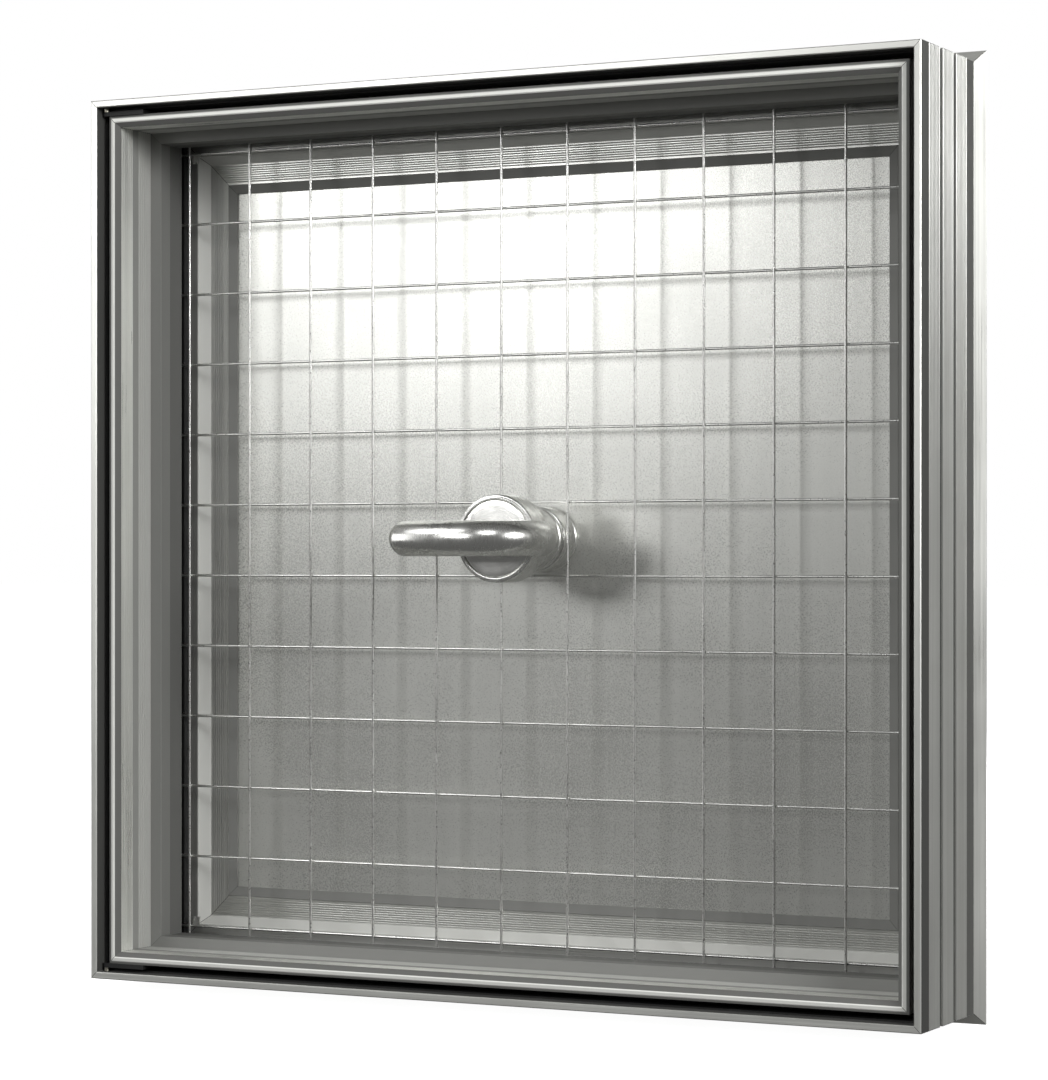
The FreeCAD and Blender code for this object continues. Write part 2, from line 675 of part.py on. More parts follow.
def make_keepers():
    reach = STOP_TIP - D.keeper_thick
    hole = bolt_slot("keeper_slot", reach - OVERCUT, STOP_TIP + OVERCUT)
    across = (ROD_OFFSET - D.keeper_half, ROD_OFFSET + D.keeper_half)
    front = D.keeper_front
    plate = block("keeper_blank", across, (front, front + D.keeper_side), (reach, STOP_TIP))
    screws = []
    tools = [hole]
    for number, sign in enumerate((-1, 1)):
        x = ROD_OFFSET + sign * (D.keeper_half - D.keeper_screw_in)
        depth = front + D.keeper_side / 2
        tools.append(rod_along(f"keeper_drill{number}", "Z", D.small_screw + D.joint_play,
                               (x, depth, reach - OVERCUT), D.keeper_thick + 2 * OVERCUT))
        under = (x, depth, reach)
        screws.append(screw(f"keeper_screw{number}", "Z", D.small_screw, D.small_head,
                            D.small_head_thick, D.keeper_thick, under))
    plate = keep(cut("keeper", plate, *tools), "keeper_top")
    keep(half_turn(plate), "keeper_bottom")
    group("keeper_screws", screws + [half_turn(item) for item in screws])


# ---------------------------------------------------------------- hinge

def make_hinge():
    """A leaf on the sash and a pin in the frame, in the gap, at the top and the bottom."""
    leaves = []
    pins = []
    screws = []
    for name, sign in (("top", 1), ("bottom", -1)):
        low = SASH if sign > 0 else -SASH - D.leaf_thick
        high = low + D.leaf_thick
        front = D.hinge_depth - D.hinge_eye
        plate = block(f"leaf_plate_{name}", (HINGE_X, HINGE_X + D.leaf_length),
                      (front, front + D.leaf_width), (low, high))
        spot = (HINGE_X, D.hinge_depth)
        eye = rod_along(f"leaf_eye_{name}", "Z", D.hinge_eye, (*spot, low), D.leaf_thick)
        bore = rod_along(f"leaf_bore_{name}", "Z", D.hinge_pin + D.hinge_play,
                         (*spot, low - OVERCUT), D.leaf_thick + 2 * OVERCUT)
        tools = [bore]
        for number, along in enumerate((D.leaf_screw_near, D.leaf_screw_far)):
            place_at = (HINGE_X + along, D.hinge_depth + D.leaf_width / 2 - D.hinge_eye)
            tools.append(rod_along(f"leaf_drill_{name}{number}", "Z",
                                   D.small_screw + D.joint_play,
                                   (*place_at, low - OVERCUT),
                                   D.leaf_thick + 2 * OVERCUT))
            screws.append(leaf_screw(f"leaf_screw_{name}{number}", sign, place_at))
        leaves.append(cut(f"leaf_{name}", join(f"leaf_body_{name}", plate, eye), *tools))
        length = INNER_WALL + D.pin_grip - SASH - D.joint_play
        start = SASH + D.joint_play if sign > 0 else -(INNER_WALL + D.pin_grip)
        pins.append(rod_along(f"hinge_pin_{name}", "Z", D.hinge_pin, (*spot, start), length))
        keep(leaves[-1], f"hinge_leaf_{name}")
    group("hinge_pins", pins)
    group("hinge_screws", screws)


def leaf_screw(name, sign, place_at):
    """A low headed screw through a leaf into the wall of the sash."""
    length = D.leaf_thick + D.leaf_screw_bite
    head = D.small_head_thick
    top = SASH + D.leaf_thick
    low = top - length if sign > 0 else -top
    shank = rod_along(name + "_shank", "Z", D.small_screw, (*place_at, low), length)
    head_low = top if sign > 0 else -top - head
    return join(name, shank, rod_along(name + "_head", "Z", D.small_head,
                                       (*place_at, head_low), head))


def drill_members():
    """Screw and pin holes in the members that carry the hinge and the keepers."""
    for name, sign in (("top", 1), ("bottom", -1)):
        low = INNER_WALL - OVERCUT if sign > 0 else -(INNER_WALL + D.pin_grip)
        bore = rod_along(f"pin_seat_{name}", "Z", D.hinge_pin,
                         (HINGE_X, D.hinge_depth, low), D.pin_grip + OVERCUT)
        redo(f"frame_{name}", bore)
        tools = []
        for number, along in enumerate((D.leaf_screw_near, D.leaf_screw_far)):
            spot = (HINGE_X + along, D.hinge_depth + D.leaf_width / 2 - D.hinge_eye)
            deep = D.leaf_screw_bite + D.joint_play
            low = SASH - deep if sign > 0 else -(SASH + OVERCUT)
            tools.append(rod_along(f"leaf_hole_{name}{number}", "Z",
                                   D.small_screw + D.joint_play, (*spot, low),
                                   deep + OVERCUT))
        redo(f"sash_{name}", *tools)


def redo(label, *tools):
    """Drill a finished member and keep its name."""
    base = made[label]
    base.Label = label + "_blank"
    keep(cut(label + "_drilled", base, *tools), label)


# ---------------------------------------------------------------- mesh and panel

def make_mesh():
    outermost = REVEAL_TWO - D.mesh_edge
    reach = REVEAL_TWO + D.wire_grip
    count = int(D.mesh_wires.value)
    pitch = 2 * outermost / (D.mesh_wires - 1)
    upright = []
    level = []
    for number in range(count):
        at = pitch * number - outermost
        front = D.mesh_depth - D.wire
        upright.append(rod_along(f"wire_up{number}", "Z", D.wire, (at, front, -reach), 2 * reach))
        back = D.mesh_depth + D.wire
        level.append(rod_along(f"wire_across{number}", "X", D.wire, (-reach, back, at), 2 * reach))
    group("mesh_upright_wires", upright)
    group("mesh_level_wires", level)
    back = D.mesh_depth + 2 * D.wire
    inner = outermost - D.wire
    clips = [corner_clip("clip", (back, back + D.clip_thick), inner)]
    for turn in (90, 180, 270):
        copy = doc.addObject("Part::Compound", f"clip_{turn}")
        copy.Links = [clips[0]]
        copy.Placement = FreeCAD.Placement(FreeCAD.Vector(), FreeCAD.Rotation(AXIS_Y, turn))
        clips.append(copy)
    group("mesh_corner_clips", clips)


def corner_clip(name, depth, inner):
    """A triangular gusset behind the crossing of the two outermost wires."""
    clip = doc.addObject("Part::Wedge", name)
    low, high = depth
    values = {"Xmin": 0, "Xmax": D.clip_side, "Ymin": 0, "Ymax": D.clip_thick, "Zmin": 0,
              "Zmax": D.clip_side, "X2min": 0, "X2max": D.clip_side, "Z2min": 0,
              "Z2max": D.clip_side}
    for key, value in values.items():
        bind(clip, key, size_of(value))
    place(clip, inner - D.clip_side + 2 * D.wire, low, inner - D.clip_side + 2 * D.wire)
    return clip


def make_panel():
    skin_half = PANEL - D.skin_play
    front = block("front_skin", (-skin_half, skin_half), (D.panel_depth, CORE_FRONT),
                  (-skin_half, skin_half))
    bush_hole = D.pilot + D.pilot_play + D.bush_wall + D.joint_play
    through = D.skin + 2 * OVERCUT
    before = D.panel_depth - OVERCUT
    tools = [rod_along("skin_bore", "Y", bush_hole, (0, before, 0), through)]
    for sign in (-1, 1):
        spot = (0, before, sign * D.rosette_screw_at)
        tools.append(rod_along(f"skin_drill{sign + 1}", "Y", D.rosette_screw + D.joint_play,
                               spot, through))
    keep(cut("front_skin_cut", front, *tools), "panel_front_skin")
    core = block("core", (-CORE, CORE), (CORE_FRONT, CORE_REAR), (-CORE, CORE))
    wide = CASE_INSIDE + D.case_wall + D.case_play
    tall = D.case_high + D.case_end + D.case_play
    hollow = block("core_hollow", (-wide, wide), (CORE_FRONT - OVERCUT, CORE_REAR + OVERCUT),
                   (-tall, tall))
    lane = bolt_slot("core_lane", tall - OVERCUT, CORE + OVERCUT)
    seat_half = D.guide_half + D.case_play
    seat = block("core_seat", (ROD_OFFSET - seat_half, ROD_OFFSET + seat_half),
                 (D.gear_depth - seat_half, D.gear_depth + seat_half),
                 (CORE - D.guide_length - D.case_play, CORE + OVERCUT))
    tools = [hollow, lane, seat, half_turn(lane), half_turn(seat)]
    keep(cut("core_cut", core, *tools), "panel_core")
    keep(block("rear_skin", (-CORE, CORE), (CORE_REAR, LIP_FRONT), (-CORE, CORE)),
         "panel_rear_skin")


# ---------------------------------------------------------------- crank

def make_hub():
    front = D.disc_depth
    back = D.disc_depth + D.disc_thick
    recess = D.disc - D.disc_rim
    floor = front + D.cap_thick
    soft = D.disc_bevel
    points = [(floor, 0), (floor, recess), (front, recess), (front, D.disc - soft)]
    points += [(front + soft, D.disc), (back - soft, D.disc), (back, D.disc - soft)]
    points += [(back, D.neck), (D.neck_end, D.neck), (D.neck_end, D.pilot)]
    points += [(D.pilot_end, D.pilot), (D.pilot_end, 0)]
    solid = turned("hub_solid", points)
    half = D.spindle / 2
    socket = block("hub_socket", (-half, half), (D.spindle_start, D.pilot_end + OVERCUT),
                   (-half, half))
    drill = rod_along("grub_hole", "Z", D.grub, (0, D.grub_depth, -D.neck - OVERCUT),
                      D.neck + OVERCUT - half)
    keep(cut("hub_cut", solid, socket, drill), "crank_hub")
    cap = recess - D.cap_play
    points = [(front + D.cap_edge, cap), (front, cap - D.cap_edge), (front, 0), (floor, 0), (floor, cap)]
    keep(turned("hub_cap_solid", points), "hub_cap")
    keep(rod_along("grub_screw", "Z", D.grub, (0, D.grub_depth, -half - D.grub_length),
                   D.grub_length), "grub_screw")
    keep(block("spindle", (-half, half), (D.spindle_start, D.spindle_end), (-half, half)),
         "spindle")


def make_bar():
    """The bent bar: a straight stub out of the neck, a tight bend, a long sweep."""
    lean = math.radians(D.bar_lean.value)
    heading = FreeCAD.Vector(math.cos(lean), -math.sin(lean), 0)
    start = FreeCAD.Vector(D.bar_root_x.value, behind(D.bar_root_depth).value, 0)
    stub_end = start + heading * D.bar_stub.value
    route = [Part.LineSegment(start, stub_end)]
    place_now = stub_end
    turns = ((D.bar_bend.value, 180 - D.bar_lean.value), (D.bar_sweep.value, D.bar_sweep_turn.value))
    for radius, turn in turns:
        inward = FreeCAD.Rotation(FreeCAD.Vector(0, 0, 1), -90).multVec(heading)
        centre = place_now + inward * radius
        spokes = []
        for share in (0.5, 1):
            spin = FreeCAD.Rotation(FreeCAD.Vector(0, 0, 1), -turn * share)
            spokes.append(centre - spin.multVec(inward) * radius)
        route.append(Part.Arc(place_now, *spokes))
        heading = FreeCAD.Rotation(FreeCAD.Vector(0, 0, 1), -turn).multVec(heading)
        place_now = spokes[1]
    spine = Part.Wire([piece.toShape() for piece in route])
    ring = Part.Wire([Part.makeCircle(D.bar_radius.value, start, stub_end - start)])
    pipe = spine.makePipeShell([ring], True, False)
    ball = Part.makeSphere(D.bar_radius.value, place_now)
    solid = doc.addObject("Part::Feature", "bar_solid")
    solid.Shape = pipe.fuse(ball).removeSplitter()
    disc = rod_along("bar_cut_disc", "Y", D.disc, (0, D.disc_depth, 0), D.disc_thick)
    neck = rod_along("bar_cut_neck", "Y", D.neck, (0, D.disc_depth + D.disc_thick, 0),
                     D.neck_end - D.disc_depth - D.disc_thick)
    keep(cut("bar_cut", solid, disc, neck), "crank_bar")


def make_rosette():
    bore = D.pilot + D.pilot_play + D.bush_wall
    front = D.rosette_depth
    soft = D.rosette_bevel
    shoulder = D.rosette_shoulder
    points = [(front, bore), (front, D.rosette - soft), (front + shoulder, D.rosette - shoulder)]
    points += [(front + soft, D.rosette), (D.panel_depth, D.rosette), (D.panel_depth, bore)]
    solid = turned("rosette_solid", points)
    tools = []
    screws = []
    under = CORE_FRONT + D.case_base
    length = D.rosette_screw_length
    for sign in (-1, 1):
        z = sign * D.rosette_screw_at
        tools.append(rod_along(f"rosette_drill{sign + 1}", "Y", D.rosette_screw,
                               (0, under - length - OVERCUT, z), length + OVERCUT))
        shank = rod_along(f"rosette_shank{sign + 1}", "Y", D.rosette_screw,
                          (0, under - length, z), length)
        head = rod_along(f"rosette_head{sign + 1}", "Y", D.rosette_head,
                         (0, under, z), D.rosette_head_thick)
        screws.append(join(f"rosette_screw{sign + 1}", shank, head))
    keep(cut("rosette_cut", solid, *tools), "rosette")
    group("rosette_screws", screws)
    inner = D.pilot + D.pilot_play
    points = [(front, inner), (front, bore), (CORE_FRONT, bore), (CORE_FRONT, inner)]
    keep(turned("bush_solid", points), "spindle_bush")


# ---------------------------------------------------------------- gear and bolts

def make_pinion():
    """Involute pinion with a tooth on the X axis each way, so both racks mesh."""
    builder = fcgear.FCWireBuilder()
    teeth = int(D.pinion_teeth.value)
    angle = D.pressure_angle.value
    involute.CreateExternalGear(builder, D.tooth_module.value, teeth, angle, True)
    wire = Part.Wire([piece.toShape() for piece in builder.wire])
    wheel = Part.Face(wire).extrude(FreeCAD.Vector(0, 0, D.gear_thick.value))
    blank = doc.addObject("Part::Feature", "pinion_blank")
    blank.Shape = wheel
    middle = behind(D.gear_depth + D.gear_thick / 2)
    upright = FreeCAD.Rotation(FreeCAD.Vector(1, 0, 0), 90)
    blank.Placement = FreeCAD.Placement(FreeCAD.Vector(0, middle.value, 0), upright)
    half = D.spindle / 2
    depth = (D.gear_depth - D.gear_thick, D.gear_depth + D.gear_thick)
    socket = block("pinion_socket", (-half, half), depth, (-half, half))
    keep(cut("pinion_cut", blank, socket), "pinion")
    outer = rod_along("clip_out", "Y", D.clip_radius,
                      (0, D.gear_depth + D.gear_thick / 2, 0), D.clip_ring)
    keep(cut("clip_ring", outer, block("clip_hole", (-half, half), depth, (-half, half))),
         "spindle_clip")


def make_rack(name, phase):
    """The right hand rack, with straight sided gaps that the pinion's teeth fill."""
    body = new_body(name)
    sketch = new_sketch(body, "XZ_Plane", "Blank")
    tip = PITCH_RADIUS - D.tooth_tip * D.tooth_module
    back = PITCH_RADIUS + D.rack_back
    low = -D.rack_low
    outline(sketch, [(tip, low), (back, low), (back, D.rack_high), (tip, D.rack_high)])
    blank = pad(body, sketch, D.gear_thick)
    body.Tip = blank
    slope = math.tan(math.radians(D.pressure_angle.value))
    middle = TOOTH_PITCH / 4 + D.backlash / 2
    before = D.gap_mouth * D.tooth_module
    after = D.tooth_root * D.tooth_module
    mouth = middle + before * slope
    root = middle - after * slope
    outside = PITCH_RADIUS - before
    floor = PITCH_RADIUS + after
    sketch = new_sketch(body, "XZ_Plane", "Gap")
    below = int((D.rack_low / TOOTH_PITCH).value) - 1
    above = int((D.rack_high / TOOTH_PITCH).value) - 1
    base = phase - below * TOOTH_PITCH
    outline(sketch, [(outside, base - mouth), (floor, base - root),
                     (floor, base + root), (outside, base + mouth)])
    gap = pocket_through(body, sketch)
    row = body.newObject("PartDesign::LinearPattern", "Row")
    row.Originals = [gap]
    row.Direction = (origin_part(body, "Z_Axis"), [""])
    row.Mode = "Spacing"
    bind(row, "Offset", TOOTH_PITCH)
    row.Occurrences = below + 1 + above
    body.Tip = row
    body.Placement.Base = FreeCAD.Vector(0, behind(D.gear_depth).value, 0)
    return body


def make_bolts():
    keep(make_rack("rack_right", size_of(0)), "rack_up")
    odd = Size(D.pinion_teeth.value % 2, f"mod({D.pinion_teeth.text}; 2)")
    keep(half_turn(make_rack("rack_left", odd * TOOTH_PITCH / 2)), "rack_down")
    start = (ROD_OFFSET, D.gear_depth, D.rack_high)
    rod = rod_along("rod_bar", "Z", D.rod_radius, start, BOLT_HEIGHT - D.rack_high)
    keep(rod, "bolt_rod_up")
    keep(half_turn(rod), "bolt_rod_down")
    across = (ROD_OFFSET - D.guide_half, ROD_OFFSET + D.guide_half)
    depth = (D.gear_depth - D.guide_half, D.gear_depth + D.guide_half)
    guide = block("guide_block", across, depth, (CORE - D.guide_length, CORE))
    bore = rod_along("guide_bore", "Z", D.rod_radius + D.rod_play,
                     (ROD_OFFSET, D.gear_depth, CORE - D.guide_length - OVERCUT),
                     D.guide_length + 2 * OVERCUT)
    guide = keep(cut("guide", guide, bore), "rod_guide_top")
    keep(half_turn(guide), "rod_guide_bottom")


def make_gearcase():
    inside = CASE_INSIDE
    wide = inside + D.case_wall
    tall = D.case_high + D.case_end
    outer = block("case_outer", (-wide, wide), (CORE_FRONT, D.case_rear), (-tall, tall))
    floor = CORE_FRONT + D.case_base
    hollow = block("case_hollow", (-inside, inside), (floor, D.case_rear + OVERCUT),
                   (-D.case_high, D.case_high))
    through = D.case_base + 2 * OVERCUT
    bore = rod_along("case_bore", "Y", D.clip_radius, (0, CORE_FRONT - OVERCUT, 0), through)
    slot = rod_along("case_slot", "Z", D.rod_radius + D.rod_play,
                     (ROD_OFFSET, D.gear_depth, D.case_high - OVERCUT),
                     D.case_end + 2 * OVERCUT)
    tools = [hollow, bore, slot, half_turn(slot)]
    for sign in (-1, 1):
        tools.append(rod_along(f"case_drill{sign + 1}", "Y", D.rosette_screw + D.joint_play,
                               (0, CORE_FRONT - OVERCUT, sign * D.rosette_screw_at),
                               through))
    cover = block("cover_blank", (-wide, wide), (D.case_rear, D.case_rear + D.cover_thick),
                  (-tall, tall))
    cover_tools = []
    screws = []
    head = D.small_head_thick
    for number, x in enumerate((-D.cover_screw_far, D.cover_screw_near)):
        z = D.case_high + D.case_end / 2
        start = D.case_rear + D.cover_thick - D.small_length
        tap = rod_along(f"case_tap{number}", "Y", D.small_screw + D.joint_play,
                        (x, start - OVERCUT / 2, z), D.small_length + 2 * OVERCUT)
        shank = rod_along(f"cover_shank{number}", "Y", D.small_screw, (x, start, z), D.small_length)
        top = rod_along(f"cover_head{number}", "Y", D.small_head,
                        (x, D.case_rear + D.cover_thick, z), head)
        whole = join(f"cover_screw{number}", shank, top)
        screws += [whole, half_turn(whole)]
        turned_tap = half_turn(tap)
        tools += [tap, turned_tap]
        cover_tools += [tap, turned_tap]
    keep(cut("case_cut", outer, *tools), "gear_case")
    keep(cut("cover_cut", cover, *cover_tools), "gear_case_cover")
    group("cover_screws", screws)


# ---------------------------------------------------------------- build and write

for side in SIDES:
    make_front_frame(side)
    make_rear_frame(side)
    make_sash(side)
    make_bead(side)
    make_panel_edge(side)
make_cleats()
make_seals()
make_keepers()
make_hinge()
drill_members()
slot_stops()
make_mesh()
make_panel()
make_hub()
make_bar()
make_rosette()
make_pinion()
make_bolts()
make_gearcase()

doc.recompute()
broken = [thing.Name for thing in doc.Objects if {"Invalid", "Error"} & set(thing.State)]
if broken:
    raise SystemExit("objects that failed: " + ", ".join(broken))
for label, thing in made.items():
    shape = thing.Shape
    if shape.isNull() or not shape.isValid() or not shape.Solids:
        raise SystemExit("bad shape: " + label)
for label, thing in made.items():
    thing.Shape.exportStep(f"parts/{label}.step")
print(len(made), "sub-parts written")
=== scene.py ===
import json
import math

import bmesh
import bpy
from mathutils import Matrix, Vector


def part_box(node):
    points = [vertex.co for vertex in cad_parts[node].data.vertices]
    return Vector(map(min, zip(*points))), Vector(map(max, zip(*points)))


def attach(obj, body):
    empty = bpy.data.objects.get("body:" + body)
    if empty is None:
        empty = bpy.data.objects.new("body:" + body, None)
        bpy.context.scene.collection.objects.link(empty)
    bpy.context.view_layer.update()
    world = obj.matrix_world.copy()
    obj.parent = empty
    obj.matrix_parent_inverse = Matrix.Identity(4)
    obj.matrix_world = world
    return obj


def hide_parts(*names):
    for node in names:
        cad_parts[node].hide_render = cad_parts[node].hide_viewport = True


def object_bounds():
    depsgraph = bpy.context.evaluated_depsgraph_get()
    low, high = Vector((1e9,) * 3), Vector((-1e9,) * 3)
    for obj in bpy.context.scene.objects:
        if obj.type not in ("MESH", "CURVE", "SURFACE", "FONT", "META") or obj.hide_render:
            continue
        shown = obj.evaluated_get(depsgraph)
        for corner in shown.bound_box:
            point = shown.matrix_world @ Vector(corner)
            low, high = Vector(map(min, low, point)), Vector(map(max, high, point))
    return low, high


# Window sash with a crank. Metres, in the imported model's frame: X right, Z up, Y into the
# wall, origin at the centre of the frame's back face.

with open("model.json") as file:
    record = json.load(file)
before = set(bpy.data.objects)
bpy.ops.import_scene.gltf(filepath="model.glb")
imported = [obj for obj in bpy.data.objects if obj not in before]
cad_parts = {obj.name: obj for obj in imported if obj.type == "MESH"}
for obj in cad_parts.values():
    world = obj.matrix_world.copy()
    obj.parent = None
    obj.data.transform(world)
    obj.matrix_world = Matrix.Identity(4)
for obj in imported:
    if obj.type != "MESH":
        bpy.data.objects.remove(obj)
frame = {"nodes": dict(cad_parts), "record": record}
cad_low, cad_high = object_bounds()
scene = bpy.context.scene
MM = 0.001
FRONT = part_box("frame_left")[0].y


# ---------------------------------------------------------------- camera, light and floor

VIEW_TURN = math.radians(26.8)
EYE = Vector((0.8241, -1.6826, -0.0135))
LENS = 110.72
HORIZON_SHIFT = 0.0217


def make_camera():
    data = bpy.data.cameras.new("camera")
    data.sensor_width = 36
    data.lens = LENS
    data.shift_y = HORIZON_SHIFT
    camera = bpy.data.objects.new("camera", data)
    scene.collection.objects.link(camera)
    camera.location = EYE
    camera.rotation_euler = (math.pi / 2, 0, VIEW_TURN)
    scene.camera = camera


# name, degrees left of square on, degrees up, distance, size, watts
LAMPS = (
    ("key", 28.5, 12.5, 2.25, (0.65, 0.5), 7.6),
    ("right_side", -65, 17, 2.4, (0.7, 0.7), 31),
    ("high_right", -14, 34, 2.3, (0.8, 0.7), 9),
    ("high_left", 54, 34, 2.3, (0.8, 0.7), 13),
    ("back_right", -150, 17, 2.4, (0.6, 0.7), 7),
    ("left_fill", 72, 5, 2.4, (0.8, 1.0), 6),
    ("back", 180, 28, 2.5, (1.2, 1.0), 55),
)
LAMP_TARGET = Vector((0, -0.05, 0))


def around_object(turn, height, reach):
    """A place that far from the object, turned left of square on and raised, in degrees."""
    turn, height = math.radians(turn), math.radians(height)
    return Vector((-math.sin(turn) * math.cos(height), -math.cos(turn) * math.cos(height),
                   math.sin(height))) * reach


def make_lights():
    for name, turn, height, reach, size, power in LAMPS:
        data = bpy.data.lights.new(name, "AREA")
        data.shape = "RECTANGLE"
        data.size, data.size_y = size
        data.energy = power
        lamp = bpy.data.objects.new(name, data)
        scene.collection.objects.link(lamp)
        lamp.location = around_object(turn, height, reach)
        lamp.rotation_euler = (LAMP_TARGET - lamp.location).to_track_quat("-Z", "Y").to_euler()


SURROUND = 0.10


def make_world():
    """A white surround for the camera, and a dim even light for everything else."""
    world = bpy.data.worlds.new("studio")
    scene.world = world
    world.use_nodes = True
    tree = world.node_tree
    tree.nodes.clear()
    white = tree.nodes.new("ShaderNodeBackground")
    white.inputs["Color"].default_value = (1, 1, 1, 1)
    dim = tree.nodes.new("ShaderNodeBackground")
    dim.inputs["Color"].default_value = (1, 1, 0.98, 1)
    dim.inputs["Strength"].default_value = SURROUND
    path = tree.nodes.new("ShaderNodeLightPath")
    mix = tree.nodes.new("ShaderNodeMixShader")
    output = tree.nodes.new("ShaderNodeOutputWorld")
    tree.links.new(path.outputs["Is Camera Ray"], mix.inputs["Fac"])
    tree.links.new(dim.outputs[0], mix.inputs[1])
    tree.links.new(white.outputs[0], mix.inputs[2])
    tree.links.new(mix.outputs[0], output.inputs["Surface"])


# ---------------------------------------------------------------- material helpers

class Finish:
    """A procedural material and short helpers over its node tree."""

    def __init__(self, name, metallic=1.0, **fixed):
        self.material = bpy.data.materials.new(name)
        self.material.use_nodes = True
        self.tree = self.material.node_tree
        self.tree.nodes.clear()
        self.surface = self.tree.nodes.new("ShaderNodeBsdfPrincipled")
        output = self.tree.nodes.new("ShaderNodeOutputMaterial")
        self.tree.links.new(self.surface.outputs[0], output.inputs["Surface"])
        self.surface.inputs["Metallic"].default_value = metallic
        for socket, value in fixed.items():
            self.surface.inputs[socket.replace("_", " ")].default_value = value
        coordinates = self.tree.nodes.new("ShaderNodeTexCoord")
        self.place = coordinates.outputs["Object"]

    def feed(self, socket, value):
        if hasattr(value, "is_output"):
            self.tree.links.new(value, socket)
        elif isinstance(value, tuple) and len(value) == 3 and socket.type == "RGBA":
            socket.default_value = (*value, 1)
        else:
            socket.default_value = value

    def math(self, operation, first, second=0.0):
        node = self.tree.nodes.new("ShaderNodeMath")
        node.operation = operation
        self.feed(node.inputs[0], first)
        self.feed(node.inputs[1], second)
        return node.outputs[0]

    def stretch(self, vector, scale):
        node = self.tree.nodes.new("ShaderNodeVectorMath")
        node.operation = "MULTIPLY"
        self.feed(node.inputs[0], vector)
        self.feed(node.inputs[1], scale)
        return node.outputs[0]

    def noise(self, vector, scale=1.0, detail=2.0, roughness=0.5):
        node = self.tree.nodes.new("ShaderNodeTexNoise")
        self.feed(node.inputs["Vector"], vector)
        node.inputs["Scale"].default_value = scale
        node.inputs["Detail"].default_value = detail
        node.inputs["Roughness"].default_value = roughness
        return node.outputs["Fac"]

    def spread(self, value, low, high, new_low=0.0, new_high=1.0):
        node = self.tree.nodes.new("ShaderNodeMapRange")
        self.feed(node.inputs["Value"], value)
        settings = {"From Min": low, "From Max": high, "To Min": new_low, "To Max": new_high}
        for name, number in settings.items():
            node.inputs[name].default_value = number
        return node.outputs[0]

    def blend(self, factor, first, second):
        node = self.tree.nodes.new("ShaderNodeMix")
        node.data_type = "RGBA"
        self.feed(node.inputs["Factor"], factor)
        self.feed(node.inputs["A"], first)
        self.feed(node.inputs["B"], second)
        return node.outputs["Result"]

    def split(self, vector):
        node = self.tree.nodes.new("ShaderNodeSeparateXYZ")
        self.feed(node.inputs[0], vector)
        return node.outputs

    def combine(self, x, y, z):
        node = self.tree.nodes.new("ShaderNodeCombineXYZ")
        for socket, value in zip(node.inputs, (x, y, z)):
            self.feed(socket, value)
        return node.outputs[0]

    def ring(self):
        """Coordinates on a square ring: along its side, half width, depth."""
        x, y, z = self.split(self.place)
        wide = self.math("ABSOLUTE", x)
        tall = self.math("ABSOLUTE", z)
        level = self.math("GREATER_THAN", tall, wide)
        upright = self.math("SUBTRACT", 1.0, level)
        along = self.math("ADD", self.math("MULTIPLY", x, level),
                          self.math("MULTIPLY", z, upright))
        self.mitre = self.math("ABSOLUTE", self.math("SUBTRACT", tall, wide))
        return self.combine(along, self.math("MAXIMUM", tall, wide), y)

    def around(self):
        """Coordinates about the crank axis: radius, angle and depth."""
        x, y, z = self.split(self.place)
        radius = self.math("SQRT", self.math("ADD", self.math("MULTIPLY", x, x),
                                             self.math("MULTIPLY", z, z)))
        return self.combine(radius, self.math("ARCTAN2", z, x), y)

    def colour(self, value):
        self.feed(self.surface.inputs["Base Color"], value)

    def rough(self, value):
        self.feed(self.surface.inputs["Roughness"], value)

    def bump(self, height, strength, distance):
        node = self.tree.nodes.new("ShaderNodeBump")
        node.inputs["Strength"].default_value = strength
        node.inputs["Distance"].default_value = distance
        self.feed(node.inputs["Height"], height)
        self.feed(self.surface.inputs["Normal"], node.outputs[0])


def shade(colour, factor):
    return tuple(part * factor for part in colour)


# ---------------------------------------------------------------- metals
# Bands are (first, last, tone): millimetres behind the front of the frame, or from the middle. A
# tone below 1 is painted shade, and a tone above 1 is painted light.

ALUMINIUM = (0.60, 0.603, 0.575)
FRAME_BANDS = ((0.6, 11.8, 0.07), (28.15, 32.35, 0.07), (48.7, 52.9, 0.09))
REAR_BANDS = ((69.4, 81.3, 0.13),)
SASH_BANDS = ((2.0, 6.0, 1.35), (6.0, 8.6, 0.2), (20.5, 26.4, 0.4), (26.4, 39.0, 0.62),
              (39.0, 41.0, 0.34), (41.0, 50.0, 0.25), (50.0, 62.4, 0.16))
BEAD_BANDS = ((201.5, 208.1, 0.45), (219.8, 225.5, 1.25))
STEEL = (0.66, 0.66, 0.64)


BAND_EDGE = 0.1
BAND_COVER = 0.95
BAND_TONE = 0.9
BAND_ROUGHER = 0.14
BAND_SPECULAR = 0.04
EXTRUDED_METALLIC = 0.75
STREAK = 0.10
MITRE_LINE = 0.12 * MM
MITRE_END = 0.30 * MM


